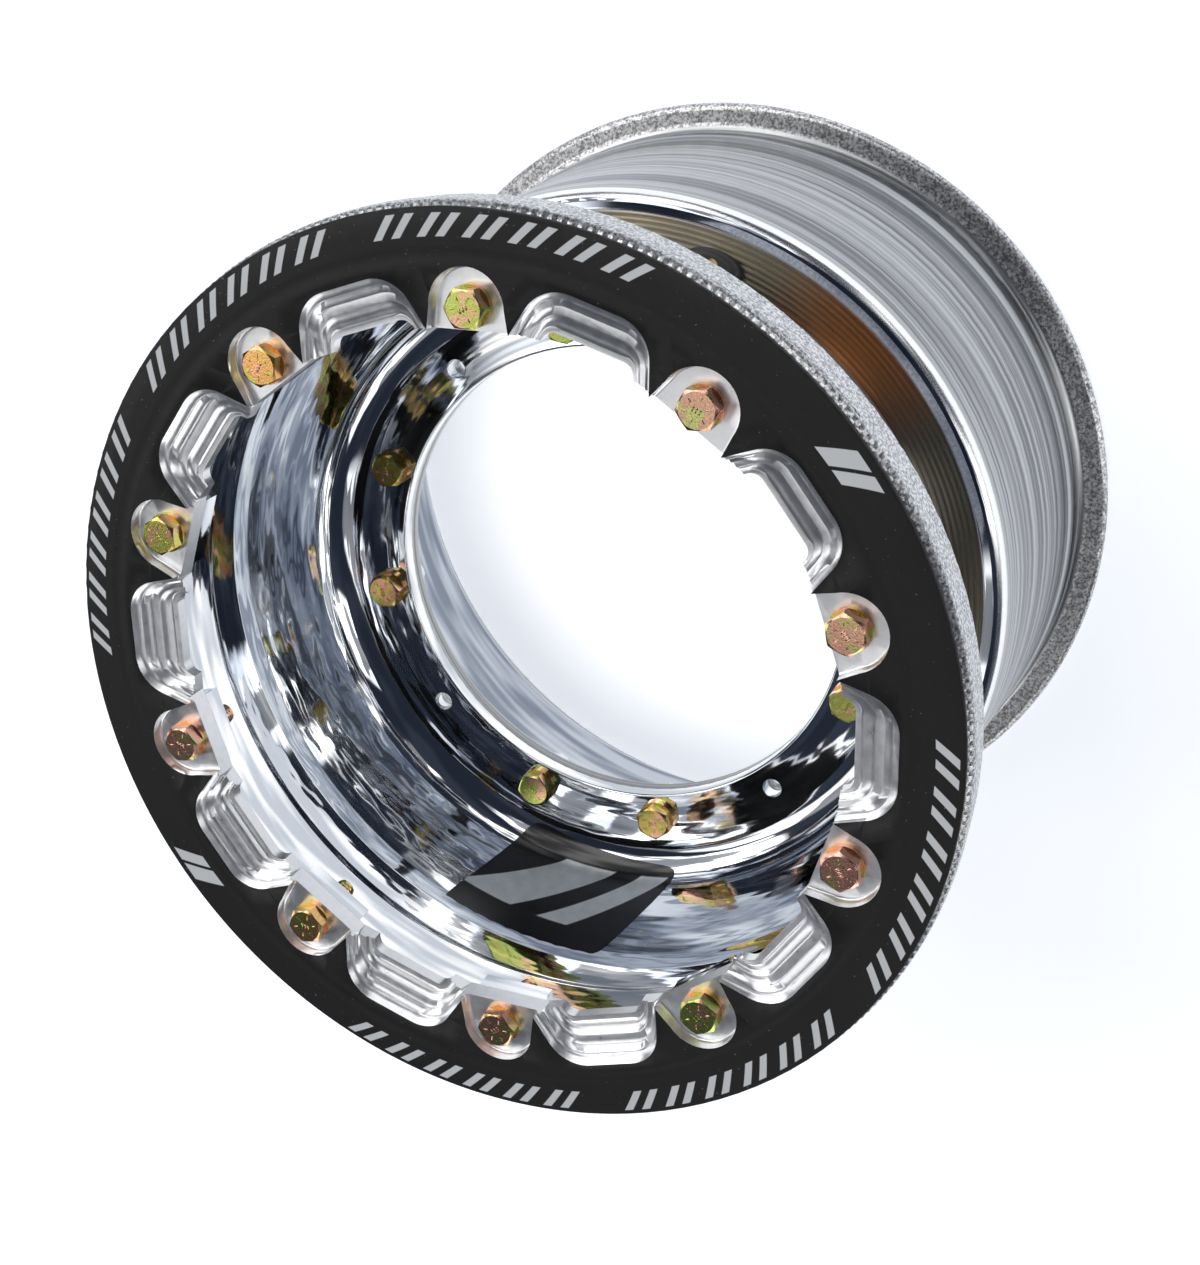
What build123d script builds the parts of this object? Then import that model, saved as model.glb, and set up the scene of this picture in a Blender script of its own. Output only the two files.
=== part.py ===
"""Two-piece racing wheel, about ten inches, with a bolted beadlock ring in front.

The wheel stands on the lip of its rear shell, so its axle line is the +Z axis and its front
faces up. A black clamp ring holds the outer tyre bead. It is bolted to ten lugs inside the
mouth of the front shell. The two shells meet at a flange deep in the wheel, held by eight
bolts with lock nuts, and four more holes of the same circle stay open for the wheel centre.
A rubber snap-in valve passes through the wall of the rear shell.

Millimetres throughout. A height is measured up from the floor that the wheel stands on, and
a depth is measured down from the wheel's face.
"""

import os
from math import atan2, cos, hypot, pi, radians, sin, tan

from build123d import *

os.makedirs("parts", exist_ok=True)

# Overall heights
flange_face = 120.0  # front of the bolt flange between the shells
flange_depth = 98.5  # from the wheel's face down to the flange
shell_wall = 4.0
margin = 1.0  # how far a cutter runs past the face that it opens
same_place = 0.01  # closest that two different radii come

# Clamp ring
ring_radius = 143.0
ring_thickness = 9.4
ring_lip_thickness = 2.4
ring_boss_inset = 11.8  # from the edge to the thick inner part, which nests in the front shell
ring_crown = 0.5  # how far the flat annulus stands over the outer edge
ring_cove_inset = 13.1  # from the edge to the middle of the cove round the flat annulus
ring_cove_half_width = 2.3
ring_cove_depth = 0.4
ring_cove_round = 6.0
ring_cove_rise = 0.15  # how much lower the cove's outer side is than its inner side
ring_edge_round = 0.6
ring_lug_reach = 7.1  # from the bolt circle in to the flat inner face of a lug
ring_lug_width = 28.0
ring_bore_gap = 0.8  # of the bore behind the flat faces of the lugs

# Ring bolts and their washers
ring_bolts = 10
ring_first_angle = 5.2  # first bolt, against the middle of two open flange holes
ring_bolt_inset = 7.0  # from the front shell's mouth in to the bolt circle
ring_bolt_length = 22.2
ring_bolt_turns = (30, 22, 48, 52, 18, 38, 18, 50, 20, 10)  # how each head came to rest

# Pocket round each ring bolt: a round end, with sides that open out towards the bore
pocket_radius = 11.6
pocket_flare = 0.14
pocket_depth = 3.3
pocket_round = 1.0

# Scallop between two bolts: three hollow steps down from the face. Each step starts at a
# chord with rounded corners, given by its rise, half width, corner radius and depth.
scallop_rises = (9.4, 5.0, 0.7, -4.3)  # of each chord above the bolt circle
scallop_half_widths = (16.3, 15.3, 13.65, 13.2)
scallop_corners = (12.0, 9.0, 6.5, 4.0)
scallop_depths = (0.0, 2.9, 4.5, 5.6)
scallop_side_slope = 0.29
scallop_sag = 0.35  # how far the ball cutter hollows each step

# Front shell: lip, band and bead seat outside, lugs and barrel inside
front_lip_overhang = 1.3  # of the lip past the clamp ring's edge
front_lip_gap = 1.2  # between the ring's lip and the shell's lip, where the tyre bead goes
front_lip_round = 3.2
front_lip_height = 6.4
front_band_inset = 1.1
front_band_height = 12.0
front_band_round = 2.0
front_seat_drop = 15.5  # from the lip down to the bead seat
front_seat_width = 32.0
front_seat_round = 4.0
front_seat_back_round = 10.0
register_clearance = 0.4
register_round = 0.4
front_mouth_inset = 6.4  # from the bead seat in to the mouth
front_mouth_depth = 39.0
front_weld_width = 4.0
front_weld_round = 2.0
front_ridge_rise = 2.0
front_ridge_depth = 56.0
front_ridge_width = 6.0
front_ridge_round = 1.5
front_step_rise = 0.4
front_step_round = 3.0
front_barrel_inset = 14.1  # from the mouth in to where the cone meets the flange face
front_barrel_round = 15.0
front_turn_inset = 12.4  # from the bead seat in to where the cone turns to the joint
front_turn_height = 8.5
front_turn_round = 14.0
shell_lug_reach = 6.5  # from the bolt circle in to the flat inner face of a lug
shell_lug_width = 23.0
shell_lug_thickness = 6.8
shell_lug_round = 7.0

# Bolt flange between the shells
flange_bore_inset = 8.4  # from the flange's bolt circle in to the bore
flange_thickness = 5.0  # of each shell
flange_edge_break = 0.8
flange_places = 12
flange_bolt_inset = 14.6  # from the joint's outer edge in to the bolt circle
flange_first_angle = 45.0  # an open hole, as every third place is
flange_hole_diameter = 6.75
flange_bolt_turns = (30, 0, 0, 0, 0, 15, 40, 10)
joint_inset = 18.6  # from the front shell's mouth in to the joint's outer edge
seal_section = 2.4
seal_clearance = 0.05

# Quarter-inch fasteners
bolt_diameter = 6.35
bolt_point = 0.6  # bevel at the end of a bolt
hex_across_flats = 11.1
hex_sides = 6
hex_bevel_angle = 30.0
head_height = 4.0
head_crown = 0.94  # bevel circle of a head, as a share of the distance across flats
washer_diameter = 12.7
washer_thickness = 1.6
washer_clearance = 0.25
ring_hole_clearance = 0.3
thread_clearance = 0.04
nut_height = 7.4
nut_collar_height = 2.2
nut_collar_diameter = 9.6
nut_collar_round = 1.0
flange_bolt_tail = 1.4  # thread that shows behind the nut

# Rear shell, whose radii are those of the tyre side
rear_lip_overhang = 0.7  # of the rear lip past the front lip
rear_lip_thickness = 5.5
rear_lip_round = 2.4
rear_lip_fillet = 4.0
rear_seat_drop = 10.6  # from the lip down to the bead seat
rear_hump_rise = 1.2
rear_hump_height = 18.0
rear_hump_half_width = 3.6
rear_hump_round = 2.5
rear_cone_drop = 0.2  # from the bead seat down to the wide end of the cone
rear_shoulder_drop = 4.6  # from the bead seat down to the narrow end of the cone
rear_shoulder_fall = 5.9  # how far the wall beside the flange falls towards the shoulder
rear_shoulder_round = 4.5
rear_mouth_inset = 6.0
rear_mouth_flare = 14.5
rear_mouth_round = 8.0
rear_inside_round = 3.0

# Valve, from its rubber foot on the tyre side to the cap inside the rear shell
valve_angle = -11.9
valve_foot_gap = 0.1018  # between the foot and the seal
valve_hole_diameter = 8.3
valve_hole_clearance = 0.05
valve_foot_length = 20.0  # along the rim: the foot is oval, to clear the seal
valve_foot_width = 11.0
valve_foot_height = 5.4
valve_foot_round = 2.6
valve_collar_gap = 0.15
valve_collar_diameter = 10.4
valve_collar_height = 3.0
valve_collar_round = 0.6
valve_sleeve_diameter = 8.8
valve_sleeve_tip_diameter = 8.0
valve_sleeve_length = 17.0
valve_stem_diameter = 5.2
valve_stem_clearance = 0.05
valve_stem_recess = 2.0  # of the stem's inner end below the top of the foot
valve_thread_diameter = 7.7
valve_thread_length = 10.5
valve_bore_diameter = 4.2
valve_air_diameter = 2.0
valve_core_length = 12.0
valve_core_clearance = 0.04
valve_pin_diameter = 1.2
valve_pin_clearance = 0.08
valve_pin_travel = 1.0
valve_pin_stop = 0.2  # room left beyond the travel
valve_pin_head_diameter = 2.2
valve_pin_head_height = 0.9
valve_pin_disc_diameter = 3.2
valve_pin_disc_height = 1.0
valve_pin_recess = 0.2  # of the pin's head behind the stem's tip
valve_cap_diameter = 10.2
valve_cap_length = 11.6
valve_cap_clearance = 0.15
valve_cap_gap = 0.3  # between the cap's rim and the end of the rubber sleeve
valve_cap_round = 0.8

# Radii that follow
ring_boss_radius = ring_radius - ring_boss_inset
ring_cove_radius = ring_radius - ring_cove_inset
front_lip_radius = ring_radius + front_lip_overhang
front_seat_radius = front_lip_radius - front_seat_drop
front_mouth_radius = front_seat_radius - front_mouth_inset
front_ridge_radius = front_mouth_radius + front_ridge_rise
front_step_radius = front_mouth_radius + front_step_rise
front_barrel_radius = front_mouth_radius - front_barrel_inset
front_turn_radius = front_seat_radius - front_turn_inset
joint_radius = front_mouth_radius - joint_inset
flange_bolt_circle = joint_radius - flange_bolt_inset
flange_bore = flange_bolt_circle - flange_bore_inset
ring_bolt_circle = front_mouth_radius - ring_bolt_inset
ring_lug_chord = ring_bolt_circle - ring_lug_reach
ring_bore = ring_lug_chord - ring_bore_gap
shell_lug_chord = ring_bolt_circle - shell_lug_reach
scallop_chords = [ring_bolt_circle + rise for rise in scallop_rises]
rear_lip_radius = front_lip_radius + rear_lip_overhang
rear_seat_radius = rear_lip_radius - rear_seat_drop
rear_mouth_radius = rear_lip_radius - rear_mouth_inset
rear_shoulder_radius = rear_seat_radius - rear_shoulder_drop

# Heights and angles that follow
wheel_face = flange_face + flange_depth
face_flat = wheel_face + ring_crown
ring_back = wheel_face - ring_thickness
ring_lip_back = wheel_face - ring_lip_thickness
pocket_floor = wheel_face - pocket_depth
lug_back = ring_back - shell_lug_thickness
lip_face = ring_lip_back - front_lip_gap
lip_step = lip_face - front_lip_height
band_back = lip_step - front_band_height
ridge_height = wheel_face - front_ridge_depth
mouth_back = wheel_face - front_mouth_depth
flange_joint = flange_face - flange_thickness
flange_back = flange_joint - flange_thickness
rear_wall_slope = rear_shoulder_fall / (rear_shoulder_radius - joint_radius)
bolt_angles = [ring_first_angle + 360 / ring_bolts * i for i in range(ring_bolts)]
place_angles = [flange_first_angle + 360 / flange_places * i for i in range(flange_places)]
flange_angles = [a for i, a in enumerate(place_angles) if i % 3]

# Where the seal lies: in the groove between the front cone and the rear wall
seal_upper_angle = atan2(
    flange_face + front_turn_height - flange_joint, front_turn_radius - joint_radius
)
seal_half_angle = (seal_upper_angle + atan2(rear_wall_slope, 1)) / 2
seal_angle = seal_upper_angle - seal_half_angle
seal_reach = (seal_section / 2 + seal_clearance) / sin(seal_half_angle)
seal_radius = joint_radius + seal_reach * cos(seal_angle)
seal_height = flange_joint + seal_reach * sin(seal_angle)
valve_radius = seal_radius + seal_section / 2 + valve_foot_gap + valve_foot_width / 2

# Where the valve stands, and places along its axis from the wall's tyre side
valve_outwards = Vector(1, 0, 0).rotate(Axis.Z, valve_angle)
valve_height = flange_joint - rear_wall_slope * (valve_radius - joint_radius)
valve_plane = Plane(
    origin=valve_outwards * valve_radius + Vector(0, 0, valve_height),
    x_dir=valve_outwards - Vector(0, 0, rear_wall_slope),
    z_dir=valve_outwards * rear_wall_slope + Vector(0, 0, 1),
)
collar_top = -shell_wall - valve_collar_gap
collar_end = collar_top - valve_collar_height
sleeve_end = collar_end - valve_sleeve_length
stem_top = valve_foot_height - valve_stem_recess
stem_tip = sleeve_end - valve_thread_length
pin_bottom = stem_tip + valve_pin_recess
core_bottom = pin_bottom + valve_pin_head_height + valve_pin_travel + valve_pin_stop
core_top = core_bottom + valve_core_length
pin_top = core_top + valve_pin_disc_height
cap_top = sleeve_end - valve_cap_gap
cap_bottom = cap_top - valve_cap_length


def finish(part, name):
    """Name a finished piece and write it to its own file."""
    part.label = name
    export_step(part, f"parts/{name}.step")


def turned(corners):
    """Solid of revolution from corners given as radius, height and rounding."""
    with BuildPart() as piece:
        with BuildSketch(Plane.XZ):
            with BuildLine():
                FilletPolyline(
                    *[(radius, height) for radius, height, _ in corners],
                    radius=[rounding for _, _, rounding in corners],
                    close=True,
                )
            make_face()
        revolve(axis=Axis.Z)
    return piece.part


def spot(radius, angle, height, turn=0.0):
    """Plane parallel to the floor at a polar place, turned from the outward direction."""
    place = Vector(radius, 0, height).rotate(Axis.Z, angle)
    x_dir = Vector(1, 0, 0).rotate(Axis.Z, angle + turn)
    return Plane(origin=place, x_dir=x_dir, z_dir=(0, 0, 1))


def scallop_outline(chord, half_width, corner):
    """Scallop in plan: a chord across the ring with rounded corners, open to the bore."""
    inside = ring_bore - margin
    spread = scallop_side_slope * (chord - inside)
    with BuildSketch() as outline:
        with BuildLine():
            FilletPolyline(
                (inside, -half_width - spread),
                (chord, -half_width),
                (chord, half_width),
                (inside, half_width + spread),
                radius=[0, corner, corner, 0],
                close=True,
            )
        make_face()
    return outline.sketch


def scallop_cutter():
    """One scallop: three hollow steps, then an opening through what is left of the ring."""
    steps = list(zip(scallop_chords, scallop_half_widths, scallop_corners, scallop_depths))
    with BuildPart() as cutter:
        for upper, lower in zip(steps, steps[1:]):
            middle = [(a + b) / 2 for a, b in zip(upper, lower)]
            middle[3] += scallop_sag
            for *plan, depth in (upper, middle, lower):
                with BuildSketch(Plane.XY.offset(wheel_face - depth)):
                    add(scallop_outline(*plan))
            loft()
        with BuildSketch(Plane.XY.offset(wheel_face)):
            add(scallop_outline(*steps[0][:3]))
        extrude(amount=ring_crown + margin)
        with BuildSketch(Plane.XY.offset(wheel_face - steps[-1][3])):
            add(scallop_outline(*steps[-1][:3]))
        extrude(amount=-ring_thickness)
    return cutter.part


def pocket_cutter():
    """Bolt pocket: a round end about the bolt, and sides that open out to the bore."""
    inside = ring_bore - margin
    mouth = pocket_radius + pocket_flare * (ring_bolt_circle - inside)
    with BuildPart() as cutter:
        with BuildSketch(Plane.XY.offset(pocket_floor)):
            with BuildLine():
                CenterArc((ring_bolt_circle, 0), pocket_radius, -90, 180)
                Polyline(
                    (ring_bolt_circle, pocket_radius),
                    (inside, mouth),
                    (inside, -mouth),
                    (ring_bolt_circle, -pocket_radius),
                )
            make_face()
        extrude(amount=pocket_depth + ring_crown + margin)
        fillet(cutter.faces().sort_by(Axis.Z)[0].edges(), pocket_round)
    return cutter.part


def make_beadlock_ring():
    """Clamp ring: thick between the bolts, thin at the lip that holds the tyre."""
    cove_inside = ring_cove_radius - ring_cove_half_width
    cove_outside = ring_cove_radius + ring_cove_half_width
    blank = turned([
        (ring_bore, ring_back, 0),
        (ring_bore, face_flat, 0),
        (cove_inside, face_flat, ring_cove_round),
        (ring_cove_radius, face_flat - ring_cove_depth, ring_cove_round),
        (cove_outside, face_flat - ring_cove_rise, ring_cove_round),
        (ring_radius, wheel_face, ring_edge_round),
        (ring_radius, ring_lip_back, ring_edge_round),
        (ring_boss_radius, ring_lip_back, ring_edge_round),
        (ring_boss_radius, ring_back, ring_edge_round),
    ])
    with BuildPart() as ring:
        add(blank)
        with PolarLocations(0, ring_bolts, ring_first_angle + 180 / ring_bolts):
            add(scallop_cutter(), mode=Mode.SUBTRACT)
        with PolarLocations(0, ring_bolts, ring_first_angle):
            add(pocket_cutter(), mode=Mode.SUBTRACT)
        with BuildSketch(Plane.XY.offset(ring_back)):
            with PolarLocations(ring_lug_chord, ring_bolts, ring_first_angle):
                Rectangle(
                    ring_lug_chord - ring_bore + margin,
                    ring_lug_width,
                    align=(Align.MAX, Align.CENTER),
                )
            with PolarLocations(ring_bolt_circle, ring_bolts, ring_first_angle):
                Circle(bolt_diameter / 2 + ring_hole_clearance)
        extrude(amount=ring_thickness + ring_crown, mode=Mode.SUBTRACT)
    return ring.part


def make_front_shell():
    """Front shell: welded lip with its lugs, seat, barrel and half of the bolt flange."""
    blank = turned([
        (flange_bore, flange_joint, 0),
        (flange_bore, flange_face, flange_edge_break),
        (front_barrel_radius, flange_face, front_barrel_round),
        (front_step_radius, ridge_height - front_ridge_width, front_step_round),
        (front_ridge_radius, ridge_height, front_ridge_round),
        (front_ridge_radius, mouth_back - front_weld_width, front_weld_round),
        (front_mouth_radius, mouth_back, front_weld_round),
        (front_mouth_radius, ring_back, 0),
        (ring_boss_radius + register_clearance, ring_back, 0),
        (ring_boss_radius + register_clearance, lip_face, register_round),
        (front_lip_radius, lip_face, front_lip_round),
        (front_lip_radius, lip_step, 0),
        (front_lip_radius - front_band_inset, lip_step, 0),
        (front_lip_radius - front_band_inset, band_back, front_band_round),
        (front_seat_radius, band_back, front_seat_round),
        (front_seat_radius, band_back - front_seat_width, front_seat_back_round),
        (front_turn_radius, flange_face + front_turn_height, front_turn_round),
        (joint_radius, flange_joint, 0),
    ])
    with BuildPart() as shell:
        add(blank)
        with BuildSketch(Plane.XY.offset(lug_back)) as lugs:
            Circle(front_mouth_radius + shell_wall)
            Circle(front_mouth_radius, mode=Mode.SUBTRACT)
            with PolarLocations(shell_lug_chord, ring_bolts, ring_first_angle):
                Rectangle(
                    front_mouth_radius - shell_lug_chord + shell_wall / 2,
                    shell_lug_width,
                    align=(Align.MIN, Align.CENTER),
                )
            roots = [
                corner
                for corner in lugs.vertices()
                if abs(hypot(corner.X, corner.Y) - front_mouth_radius) < same_place
            ]
            fillet(roots, shell_lug_round)
        extrude(amount=shell_lug_thickness)
        with BuildSketch(Plane.XY.offset(lug_back)):
            with PolarLocations(ring_bolt_circle, ring_bolts, ring_first_angle):
                Circle(bolt_diameter / 2 + thread_clearance)
        extrude(amount=shell_lug_thickness, mode=Mode.SUBTRACT)
        with BuildSketch(Plane.XY.offset(flange_joint)):
            with PolarLocations(flange_bolt_circle, flange_places, flange_first_angle):
                Circle(flange_hole_diameter / 2)
        extrude(amount=flange_thickness, mode=Mode.SUBTRACT)
    return shell.part


def rear_wall_height(radius):
    """Height of the rear shell's tyre side between the flange joint and the shoulder."""
    return flange_joint - rear_wall_slope * (radius - joint_radius)


def make_rear_shell():
    """Rear shell: half of the bolt flange, steep wall, shoulder, long cone and rear lip."""
    across = shell_wall / cos(atan2(rear_wall_slope, 1))
    shoulder_inside = rear_shoulder_radius - shell_wall
    cone_radius = rear_seat_radius - rear_cone_drop
    flange_outside = joint_radius + (flange_thickness - across) / rear_wall_slope
    blank = turned([
        (flange_bore, flange_back, flange_edge_break),
        (flange_bore, flange_joint, 0),
        (joint_radius, flange_joint, 0),
        (rear_shoulder_radius, rear_wall_height(rear_shoulder_radius), rear_shoulder_round),
        (cone_radius, rear_hump_height + rear_hump_half_width, rear_hump_round),
        (rear_seat_radius + rear_hump_rise, rear_hump_height, rear_hump_round),
        (rear_seat_radius, rear_hump_height - rear_hump_half_width, rear_hump_round),
        (rear_seat_radius, rear_lip_thickness, rear_lip_fillet),
        (rear_lip_radius, rear_lip_thickness, rear_lip_round),
        (rear_lip_radius, 0, rear_lip_round),
        (rear_mouth_radius, 0, flange_edge_break),
        (rear_seat_radius - shell_wall, rear_mouth_flare, rear_mouth_round),
        (shoulder_inside, rear_wall_height(shoulder_inside) - across, rear_inside_round),
        (flange_outside, flange_back, rear_inside_round),
    ])
    with BuildPart() as shell:
        add(blank)
        with BuildSketch(Plane.XY.offset(flange_joint)):
            with PolarLocations(flange_bolt_circle, flange_places, flange_first_angle):
                Circle(flange_hole_diameter / 2)
        extrude(amount=-flange_thickness, mode=Mode.SUBTRACT)
        with BuildSketch(valve_plane):
            Circle(valve_hole_diameter / 2)
        extrude(amount=shell_wall * 2, both=True, mode=Mode.SUBTRACT)
    return shell.part


def make_shell_seal():
    """Ring of round section in the groove where the two shells' outsides meet."""
    with BuildPart() as seal:
        with BuildSketch(Plane.XZ):
            with Locations((seal_radius, seal_height)):
                Circle(seal_section / 2)
        revolve(axis=Axis.Z)
    return seal.part


def hexagon(height):
    """Hexagonal block with its upper corners bevelled."""
    corner = hex_across_flats / 2 / cos(pi / hex_sides) + margin
    crown = hex_across_flats / 2 * head_crown
    drop = (corner - crown) * tan(radians(hex_bevel_angle))
    with BuildPart() as block:
        with BuildSketch():
            RegularPolygon(hex_across_flats / 2, hex_sides, major_radius=False)
        extrude(amount=height)
        with BuildSketch(Plane.XZ):
            with BuildLine():
                Polyline(
                    (0, 0),
                    (corner, 0),
                    (corner, height - drop),
                    (crown, height),
                    (0, height),
                    close=True,
                )
            make_face()
        revolve(axis=Axis.Z, mode=Mode.INTERSECT)
    return block.part


def make_bolt(length):
    """Hexagon bolt with the underside of its head in the local XY plane."""
    with BuildPart() as bolt:
        add(hexagon(head_height))
        with BuildSketch():
            Circle(bolt_diameter / 2)
        extrude(amount=-length)
        chamfer(bolt.edges().sort_by(Axis.Z)[0], bolt_point)
    return bolt.part


def make_washer():
    """Flat washer resting on the local XY plane."""
    with BuildPart() as washer:
        with BuildSketch():
            Circle(washer_diameter / 2)
            Circle(bolt_diameter / 2 + washer_clearance, mode=Mode.SUBTRACT)
        extrude(amount=washer_thickness)
    return washer.part


def make_lock_nut():
    """Lock nut with its flat side in the local XY plane and its collar away from it."""
    with BuildPart() as nut:
        add(hexagon(nut_height - nut_collar_height))
        with BuildSketch(Plane.XY.offset(nut_height - nut_collar_height)):
            Circle(nut_collar_diameter / 2)
        extrude(amount=nut_collar_height)
        fillet(nut.edges().sort_by(Axis.Z)[-1], nut_collar_round)
        with BuildSketch():
            Circle(bolt_diameter / 2 + thread_clearance)
        extrude(amount=nut_height, mode=Mode.SUBTRACT)
    return nut.part


def make_valve_body():
    """Rubber valve body: domed oval foot, neck through the wall, collar and sleeve."""
    neck = valve_hole_diameter / 2 - valve_hole_clearance
    collar = valve_collar_diameter / 2
    blank = turned([
        (0, sleeve_end, 0),
        (valve_sleeve_tip_diameter / 2, sleeve_end, valve_collar_round),
        (valve_sleeve_diameter / 2, collar_end, 0),
        (collar, collar_end, valve_collar_round),
        (collar, collar_top, 0),
        (neck, collar_top, 0),
        (neck, 0, 0),
        (0, 0, 0),
    ])
    with BuildPart() as body:
        with BuildSketch():
            Ellipse(valve_foot_width / 2, valve_foot_length / 2)
        extrude(amount=valve_foot_height)
        fillet(body.edges().group_by(Axis.Z)[-1], valve_foot_round)
        add(blank)
        with BuildSketch():
            Circle(valve_stem_diameter / 2 + valve_stem_clearance)
        extrude(amount=valve_sleeve_length * 2, both=True, mode=Mode.SUBTRACT)
    return body.part


def make_valve_stem():
    """Brass stem: plain inside the rubber, threaded for the cap beyond it, bored through."""
    outside = valve_stem_diameter / 2
    thread = valve_thread_diameter / 2
    bore = valve_bore_diameter / 2
    air_way = valve_air_diameter / 2
    return turned([
        (air_way, stem_top, 0),
        (outside, stem_top, 0),
        (outside, sleeve_end, 0),
        (thread, sleeve_end, 0),
        (thread, stem_tip, bolt_point),
        (bore, stem_tip, 0),
        (bore, pin_top + valve_pin_travel + valve_pin_stop, 0),
        (air_way, pin_top + valve_pin_travel + valve_pin_stop, 0),
    ])


def make_valve_core():
    """Valve core: a sleeve screwed into the stem, which guides the pin."""
    outside = valve_bore_diameter / 2 - valve_core_clearance
    inside = valve_pin_diameter / 2 + valve_pin_clearance
    return turned([
        (inside, core_bottom, 0),
        (outside, core_bottom, 0),
        (outside, core_top, 0),
        (inside, core_top, 0),
    ])


def make_valve_core_pin():
    """Pin of the core: a head to push on, a shaft, and the disc that closes the core."""
    shaft = valve_pin_diameter / 2
    head = valve_pin_head_diameter / 2
    disc = valve_pin_disc_diameter / 2
    return turned([
        (0, pin_bottom, 0),
        (head, pin_bottom, 0),
        (head, pin_bottom + valve_pin_head_height, 0),
        (shaft, pin_bottom + valve_pin_head_height, 0),
        (shaft, core_top, 0),
        (disc, core_top, 0),
        (disc, pin_top, 0),
        (0, pin_top, 0),
    ])


def make_valve_cap():
    """Screw cap over the threaded end of the stem, closed at its outer end."""
    outside = valve_cap_diameter / 2
    inside = valve_thread_diameter / 2 + valve_cap_clearance
    return turned([
        (0, cap_bottom, 0),
        (outside, cap_bottom, valve_cap_round),
        (outside, cap_top, valve_cap_round / 2),
        (inside, cap_top, 0),
        (inside, stem_tip - valve_cap_clearance, 0),
        (0, stem_tip - valve_cap_clearance, 0),
    ])


# The two rims, their seal and the clamp ring
finish(make_beadlock_ring(), "beadlock_ring")
finish(make_front_shell(), "front_shell")
finish(make_rear_shell(), "rear_shell")
finish(make_shell_seal(), "shell_seal")

# Ring bolts with their washers, in the pockets
washer = make_washer()
ring_bolt = make_bolt(ring_bolt_length)
for number, (angle, turn) in enumerate(zip(bolt_angles, ring_bolt_turns), start=1):
    seat = spot(ring_bolt_circle, angle, pocket_floor, turn)
    finish(seat * washer, f"ring_washer_{number:02d}")
    finish(seat.offset(washer_thickness) * ring_bolt, f"ring_bolt_{number:02d}")

# Flange bolts with their washers in front of the flange, and lock nuts behind it
grip = washer_thickness + flange_face - flange_back
flange_bolt = make_bolt(grip + nut_height + flange_bolt_tail)
lock_nut = make_lock_nut()
for number, (angle, turn) in enumerate(zip(flange_angles, flange_bolt_turns), start=1):
    seat = spot(flange_bolt_circle, angle, flange_face, turn)
    behind = seat.offset(flange_back - flange_face)
    back = Plane(origin=behind.origin, x_dir=seat.x_dir, z_dir=-seat.z_dir)
    finish(seat * washer, f"flange_washer_{number:02d}")
    finish(seat.offset(washer_thickness) * flange_bolt, f"flange_bolt_{number:02d}")
    finish(back * lock_nut, f"lock_nut_{number:02d}")

# Valve, square to the rear shell's steep wall
finish(valve_plane * make_valve_body(), "valve_body")
finish(valve_plane * make_valve_stem(), "valve_stem")
finish(valve_plane * make_valve_core(), "valve_core")
finish(valve_plane * make_valve_core_pin(), "valve_core_pin")
finish(valve_plane * make_valve_cap(), "valve_cap")
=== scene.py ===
# %% [markdown]
# # A ten-inch racing wheel with a bolted clamp ring
#
# The wheel lies face up on a pale light table. Its frame, the CAD model, already holds every
# metal form, so this lesson looks at it through the camera, dresses each surface, adds the
# small forms that the CAD leaves plain, and lights it as a product photographer would.

# %% Load the frame
from math import cos, pi, radians, sin

import bmesh
import bpy
import numpy as np
from mathutils import Matrix, Vector


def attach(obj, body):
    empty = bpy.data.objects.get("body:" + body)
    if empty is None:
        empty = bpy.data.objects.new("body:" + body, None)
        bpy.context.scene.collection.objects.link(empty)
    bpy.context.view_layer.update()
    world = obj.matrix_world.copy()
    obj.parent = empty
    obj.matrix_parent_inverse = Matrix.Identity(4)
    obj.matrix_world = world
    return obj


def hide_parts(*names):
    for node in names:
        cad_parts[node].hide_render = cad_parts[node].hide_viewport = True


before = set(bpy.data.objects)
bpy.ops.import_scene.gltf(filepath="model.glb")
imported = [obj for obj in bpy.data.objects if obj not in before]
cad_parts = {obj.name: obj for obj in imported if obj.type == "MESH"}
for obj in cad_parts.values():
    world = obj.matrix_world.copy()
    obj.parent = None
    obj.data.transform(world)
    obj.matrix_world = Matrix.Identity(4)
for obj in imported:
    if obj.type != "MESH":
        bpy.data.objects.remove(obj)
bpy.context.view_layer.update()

# %% [markdown]
# ## The camera
#
# The photograph looks down on the wheel's face from one side, so near edges are a little
# larger than far ones. The camera's place and roll were measured from the ring's bolts. A
# camera is turned by a matrix whose columns are its right, up and backward directions.

# %% Place the camera
camera_place = Vector((0.249809, -0.212296, 0.661170))
camera_right = Vector((0.063218, -0.914539, -0.399526))
camera_up = Vector((0.926329, 0.202739, -0.317507))
turn = Matrix((camera_right, camera_up, camera_right.cross(camera_up))).transposed()
camera = bpy.data.objects.new("camera", bpy.data.cameras.new("camera"))
camera.matrix_world = Matrix.Translation(camera_place) @ turn.to_4x4()
camera.data.sensor_width = 36.0
camera.data.lens = 52.99
camera.data.shift_x = 0.00323
camera.data.shift_y = -0.0808
camera.data.clip_start = 0.01
bpy.context.collection.objects.link(camera)
bpy.context.scene.camera = camera
print("camera at", tuple(round(c, 3) for c in camera_place))

# %% [markdown]
# ## A way to write finishes
#
# A material is a graph of nodes, which is slow to read as links. Here a socket is wrapped so
# that Python's arithmetic adds the Math nodes: `1 - mask` is one node. Every finish measures
# its patterns in the wheel's own millimetres: the distance from the axle line, the angle
# round it and the height. The patterns then stay on the metal from every side.

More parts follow.
